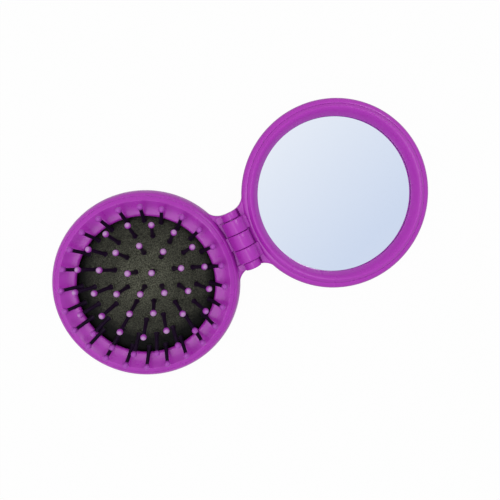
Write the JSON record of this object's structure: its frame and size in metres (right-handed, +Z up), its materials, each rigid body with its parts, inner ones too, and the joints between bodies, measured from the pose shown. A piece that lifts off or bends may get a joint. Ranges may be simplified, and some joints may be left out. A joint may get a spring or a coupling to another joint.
{
  "type": "folding pocket hairbrush with mirror",
  "caption": "Round folding pocket hairbrush with a pop-up cushion of ball-tipped pins and a mirror in its hinged lid.",
  "frame": {"origin": "on the surface that both backs rest on, straight below the middle of the hinge, with the brush open flat", "axes": "+X from the brush half to the mirror half, +Y along the hinge, +Z up, out of the mirror and the pad"},
  "size_m": [0.1372, 0.065, 0.0221],
  "materials": {
    "purple_plastic": "glossy moulded ABS",
    "black_rubber": "fine matt grain",
    "black_nylon": "satin moulded nylon",
    "mirror": "silvered float glass",
    "foam_tape": "white foam",
    "steel": "drawn wire"
  },
  "bodies": {
    "brush_half": {"brush_case": "purple_plastic", "pad_ring": "purple_plastic", "cushion": "black_rubber", "hinge_pin": "steel"},
    "mirror_half": {"mirror_case": "purple_plastic", "mirror_bezel": "purple_plastic", "mirror_glass": "mirror", "mirror_tape": "foam_tape"},
    "push_plate": {"push_plate": "black_nylon", "centre_pin": "black_nylon"},
    "inner_pin_01": {"inner_pin_01": "black_nylon"},
    "inner_pin_02": {"inner_pin_02": "black_nylon"},
    "inner_pin_03": {"inner_pin_03": "black_nylon"},
    "inner_pin_04": {"inner_pin_04": "black_nylon"},
    "inner_pin_05": {"inner_pin_05": "black_nylon"},
    "inner_pin_06": {"inner_pin_06": "black_nylon"},
    "second_ring_pins_01": {"second_ring_pins_01": "black_nylon"},
    "second_ring_pins_02": {"second_ring_pins_02": "black_nylon"},
    "second_ring_pins_03": {"second_ring_pins_03": "black_nylon"},
    "second_ring_pins_04": {"second_ring_pins_04": "black_nylon"},
    "second_ring_pins_05": {"second_ring_pins_05": "black_nylon"},
    "second_ring_pins_06": {"second_ring_pins_06": "black_nylon"},
    "third_ring_pins_01": {"third_ring_pins_01": "black_nylon"},
    "third_ring_pins_02": {"third_ring_pins_02": "black_nylon"},
    "third_ring_pins_03": {"third_ring_pins_03": "black_nylon"},
    "third_ring_pins_04": {"third_ring_pins_04": "black_nylon"},
    "third_ring_pins_05": {"third_ring_pins_05": "black_nylon"},
    "third_ring_pins_06": {"third_ring_pins_06": "black_nylon"},
    "third_ring_pins_07": {"third_ring_pins_07": "black_nylon"},
    "third_ring_pins_08": {"third_ring_pins_08": "black_nylon"},
    "third_ring_pins_09": {"third_ring_pins_09": "black_nylon"},
    "outer_ring_pins_01": {"outer_ring_pins_01": "black_nylon"},
    "outer_ring_pins_02": {"outer_ring_pins_02": "black_nylon"},
    "outer_ring_pins_03": {"outer_ring_pins_03": "black_nylon"},
    "outer_ring_pins_04": {"outer_ring_pins_04": "black_nylon"},
    "outer_ring_pins_05": {"outer_ring_pins_05": "black_nylon"},
    "outer_ring_pins_06": {"outer_ring_pins_06": "black_nylon"},
    "outer_ring_pins_07": {"outer_ring_pins_07": "black_nylon"},
    "outer_ring_pins_08": {"outer_ring_pins_08": "black_nylon"},
    "outer_ring_pins_09": {"outer_ring_pins_09": "black_nylon"},
    "outer_ring_pins_10": {"outer_ring_pins_10": "black_nylon"},
    "outer_ring_pins_11": {"outer_ring_pins_11": "black_nylon"},
    "outer_ring_pins_12": {"outer_ring_pins_12": "black_nylon"}
  },
  "joints": [
    {"name": "lid_fold", "type": "hinge", "parent": "brush_half", "child": "mirror_half", "pos_m": [0, 0, 0.012], "axis": [0, -1, 0], "range_deg": [0, 180]},
    {"name": "pad_pop", "type": "slide", "parent": "brush_half", "child": "push_plate", "axis": [0, 0, -1], "range_m": [0, 0.00701], "deforming": ["cushion"]},
    {"name": "inner_pin_01_swing", "type": "hinge", "parent": "brush_half", "child": "inner_pin_01", "pos_m": [-0.00509, -0.014, 0.00883], "axis": [-0.4115, -0.9114, 0], "range_deg": [0, 14.05]},
    {"name": "inner_pin_02_swing", "type": "hinge", "parent": "brush_half", "child": "inner_pin_02", "pos_m": [-0.00847, 0.01985, 0.00883], "axis": [0.5835, -0.8121, 0], "range_deg": [0, 14.05]},
    {"name": "inner_pin_03_swing", "type": "hinge", "parent": "brush_half", "child": "inner_pin_03", "pos_m": [-0.03948, 0.03385, 0.00883], "axis": [0.9951, 0.0993, 0], "range_deg": [0, 14.05]},
    {"name": "inner_pin_04_swing", "type": "hinge", "parent": "brush_half", "child": "inner_pin_04", "pos_m": [-0.06711, 0.014, 0.00883], "axis": [0.4115, 0.9114, 0], "range_deg": [0, 14.05]},
    {"name": "inner_pin_05_swing", "type": "hinge", "parent": "brush_half", "child": "inner_pin_05", "pos_m": [-0.06373, -0.01985, 0.00883], "axis": [-0.5835, 0.8121, 0], "range_deg": [0, 14.05]},
    {"name": "inner_pin_06_swing", "type": "hinge", "parent": "brush_half", "child": "inner_pin_06", "pos_m": [-0.03272, -0.03385, 0.00883], "axis": [-0.9951, -0.0993, 0], "range_deg": [0, 14.05]},
    {"name": "second_ring_pins_01_swing", "type": "hinge", "parent": "brush_half", "child": "second_ring_pins_01", "pos_m": [-0.01275, -0.00382, 0.00827], "axis": [-0.1616, -0.9869, 0], "range_deg": [0, 29.05]},
    {"name": "second_ring_pins_02_swing", "type": "hinge", "parent": "brush_half", "child": "second_ring_pins_02", "pos_m": [-0.02111, 0.01831, 0.00827], "axis": [0.7738, -0.6334, 0], "range_deg": [0, 29.05]},
    {"name": "second_ring_pins_03_swing", "type": "hinge", "parent": "brush_half", "child": "second_ring_pins_03", "pos_m": [-0.04446, 0.02213, 0.00827], "axis": [0.9354, 0.3535, 0], "range_deg": [0, 29.05]},
    {"name": "second_ring_pins_04_swing", "type": "hinge", "parent": "brush_half", "child": "second_ring_pins_04", "pos_m": [-0.05945, 0.00382, 0.00827], "axis": [0.1616, 0.9869, 0], "range_deg": [0, 29.05]},
    {"name": "second_ring_pins_05_swing", "type": "hinge", "parent": "brush_half", "child": "second_ring_pins_05", "pos_m": [-0.05109, -0.01831, 0.00827], "axis": [-0.7738, 0.6334, 0], "range_deg": [0, 29.05]},
    {"name": "second_ring_pins_06_swing", "type": "hinge", "parent": "brush_half", "child": "second_ring_pins_06", "pos_m": [-0.02774, -0.02213, 0.00827], "axis": [-0.9354, -0.3535, 0], "range_deg": [0, 29.05]},
    {"name": "third_ring_pins_01_swing", "type": "hinge", "parent": "brush_half", "child": "third_ring_pins_01", "pos_m": [-0.01453, -0.0055, 0.00787], "axis": [-0.247, -0.969, 0], "range_deg": [0, 45.05]},
    {"name": "third_ring_pins_02_swing", "type": "hinge", "parent": "brush_half", "child": "third_ring_pins_02", "pos_m": [-0.01605, 0.00965, 0.00787], "axis": [0.4337, -0.9011, 0], "range_deg": [0, 45.05]},
    {"name": "third_ring_pins_03_swing", "type": "hinge", "parent": "brush_half", "child": "third_ring_pins_03", "pos_m": [-0.02694, 0.02028, 0.00787], "axis": [0.9114, -0.4115, 0], "range_deg": [0, 45.05]},
    {"name": "third_ring_pins_04_swing", "type": "hinge", "parent": "brush_half", "child": "third_ring_pins_04", "pos_m": [-0.04212, 0.02143, 0.00787], "axis": [0.9627, 0.2706, 0], "range_deg": [0, 45.05]},
    {"name": "third_ring_pins_05_swing", "type": "hinge", "parent": "brush_half", "child": "third_ring_pins_05", "pos_m": [-0.05449, 0.01254, 0.00787], "axis": [0.5635, 0.8261, 0], "range_deg": [0, 45.05]},
    {"name": "third_ring_pins_06_swing", "type": "hinge", "parent": "brush_half", "child": "third_ring_pins_06", "pos_m": [-0.05825, -0.00221, 0.00787], "axis": [-0.0993, 0.9951, 0], "range_deg": [0, 45.05]},
    {"name": "third_ring_pins_07_swing", "type": "hinge", "parent": "brush_half", "child": "third_ring_pins_07", "pos_m": [-0.05164, -0.01593, 0.00787], "axis": [-0.7157, 0.6984, 0], "range_deg": [0, 45.05]},
    {"name": "third_ring_pins_08_swing", "type": "hinge", "parent": "brush_half", "child": "third_ring_pins_08", "pos_m": [-0.03777, -0.02219, 0.00787], "axis": [-0.9972, 0.075, 0], "range_deg": [0, 45.05]},
    {"name": "third_ring_pins_09_swing", "type": "hinge", "parent": "brush_half", "child": "third_ring_pins_09", "pos_m": [-0.02311, -0.01807, 0.00787], "axis": [-0.8121, -0.5835, 0], "range_deg": [0, 45.05]},
    {"name": "outer_ring_pins_01_swing", "type": "hinge", "parent": "brush_half", "child": "outer_ring_pins_01", "pos_m": [-0.01357, -0.0068, 0.00757], "axis": [-0.289, -0.9573, 0], "range_deg": [0, 51.05]},
    {"name": "outer_ring_pins_02_swing", "type": "hinge", "parent": "brush_half", "child": "outer_ring_pins_02", "pos_m": [-0.01318, 0.00537, 0.00757], "axis": [0.2284, -0.9736, 0], "range_deg": [0, 51.05]},
    {"name": "outer_ring_pins_03_swing", "type": "hinge", "parent": "brush_half", "child": "outer_ring_pins_03", "pos_m": [-0.01894, 0.01611, 0.00757], "axis": [0.6845, -0.729, 0], "range_deg": [0, 51.05]},
    {"name": "outer_ring_pins_04_swing", "type": "hinge", "parent": "brush_half", "child": "outer_ring_pins_04", "pos_m": [-0.0293, 0.02253, 0.00757], "axis": [0.9573, -0.289, 0], "range_deg": [0, 51.05]},
    {"name": "outer_ring_pins_05_swing", "type": "hinge", "parent": "brush_half", "child": "outer_ring_pins_05", "pos_m": [-0.04147, 0.02292, 0.00757], "axis": [0.9736, 0.2284, 0], "range_deg": [0, 51.05]},
    {"name": "outer_ring_pins_06_swing", "type": "hinge", "parent": "brush_half", "child": "outer_ring_pins_06", "pos_m": [-0.05221, 0.01716, 0.00757], "axis": [0.729, 0.6845, 0], "range_deg": [0, 51.05]},
    {"name": "outer_ring_pins_07_swing", "type": "hinge", "parent": "brush_half", "child": "outer_ring_pins_07", "pos_m": [-0.05863, 0.0068, 0.00757], "axis": [0.289, 0.9573, 0], "range_deg": [0, 51.05]},
    {"name": "outer_ring_pins_08_swing", "type": "hinge", "parent": "brush_half", "child": "outer_ring_pins_08", "pos_m": [-0.05902, -0.00537, 0.00757], "axis": [-0.2284, 0.9736, 0], "range_deg": [0, 51.05]},
    {"name": "outer_ring_pins_09_swing", "type": "hinge", "parent": "brush_half", "child": "outer_ring_pins_09", "pos_m": [-0.05326, -0.01611, 0.00757], "axis": [-0.6845, 0.729, 0], "range_deg": [0, 51.05]},
    {"name": "outer_ring_pins_10_swing", "type": "hinge", "parent": "brush_half", "child": "outer_ring_pins_10", "pos_m": [-0.0429, -0.02253, 0.00757], "axis": [-0.9573, 0.289, 0], "range_deg": [0, 51.05]},
    {"name": "outer_ring_pins_11_swing", "type": "hinge", "parent": "brush_half", "child": "outer_ring_pins_11", "pos_m": [-0.03072, -0.02292, 0.00757], "axis": [-0.9736, -0.2284, 0], "range_deg": [0, 51.05]},
    {"name": "outer_ring_pins_12_swing", "type": "hinge", "parent": "brush_half", "child": "outer_ring_pins_12", "pos_m": [-0.01999, -0.01716, 0.00757], "axis": [-0.729, -0.6845, 0], "range_deg": [0, 51.05]}
  ],
  "couplings": [
    {"joint": "pad_pop", "follows": "lid_fold", "m_per_rad": 0.0022282},
    {"joint": "inner_pin_01_swing", "follows": "lid_fold", "ratio": 0.077778},
    {"joint": "inner_pin_02_swing", "follows": "lid_fold", "ratio": 0.077778},
    {"joint": "inner_pin_03_swing", "follows": "lid_fold", "ratio": 0.077778},
    {"joint": "inner_pin_04_swing", "follows": "lid_fold", "ratio": 0.077778},
    {"joint": "inner_pin_05_swing", "follows": "lid_fold", "ratio": 0.077778},
    {"joint": "inner_pin_06_swing", "follows": "lid_fold", "ratio": 0.077778},
    {"joint": "second_ring_pins_01_swing", "follows": "lid_fold", "ratio": 0.16111},
    {"joint": "second_ring_pins_02_swing", "follows": "lid_fold", "ratio": 0.16111},
    {"joint": "second_ring_pins_03_swing", "follows": "lid_fold", "ratio": 0.16111},
    {"joint": "second_ring_pins_04_swing", "follows": "lid_fold", "ratio": 0.16111},
    {"joint": "second_ring_pins_05_swing", "follows": "lid_fold", "ratio": 0.16111},
    {"joint": "second_ring_pins_06_swing", "follows": "lid_fold", "ratio": 0.16111},
    {"joint": "third_ring_pins_01_swing", "follows": "lid_fold", "ratio": 0.25},
    {"joint": "third_ring_pins_02_swing", "follows": "lid_fold", "ratio": 0.25},
    {"joint": "third_ring_pins_03_swing", "follows": "lid_fold", "ratio": 0.25},
    {"joint": "third_ring_pins_04_swing", "follows": "lid_fold", "ratio": 0.25},
    {"joint": "third_ring_pins_05_swing", "follows": "lid_fold", "ratio": 0.25},
    {"joint": "third_ring_pins_06_swing", "follows": "lid_fold", "ratio": 0.25},
    {"joint": "third_ring_pins_07_swing", "follows": "lid_fold", "ratio": 0.25},
    {"joint": "third_ring_pins_08_swing", "follows": "lid_fold", "ratio": 0.25},
    {"joint": "third_ring_pins_09_swing", "follows": "lid_fold", "ratio": 0.25},
    {"joint": "outer_ring_pins_01_swing", "follows": "lid_fold", "ratio": 0.28333},
    {"joint": "outer_ring_pins_02_swing", "follows": "lid_fold", "ratio": 0.28333},
    {"joint": "outer_ring_pins_03_swing", "follows": "lid_fold", "ratio": 0.28333},
    {"joint": "outer_ring_pins_04_swing", "follows": "lid_fold", "ratio": 0.28333},
    {"joint": "outer_ring_pins_05_swing", "follows": "lid_fold", "ratio": 0.28333},
    {"joint": "outer_ring_pins_06_swing", "follows": "lid_fold", "ratio": 0.28333},
    {"joint": "outer_ring_pins_07_swing", "follows": "lid_fold", "ratio": 0.28333},
    {"joint": "outer_ring_pins_08_swing", "follows": "lid_fold", "ratio": 0.28333},
    {"joint": "outer_ring_pins_09_swing", "follows": "lid_fold", "ratio": 0.28333},
    {"joint": "outer_ring_pins_10_swing", "follows": "lid_fold", "ratio": 0.28333},
    {"joint": "outer_ring_pins_11_swing", "follows": "lid_fold", "ratio": 0.28333},
    {"joint": "outer_ring_pins_12_swing", "follows": "lid_fold", "ratio": 0.28333}
  ]
}
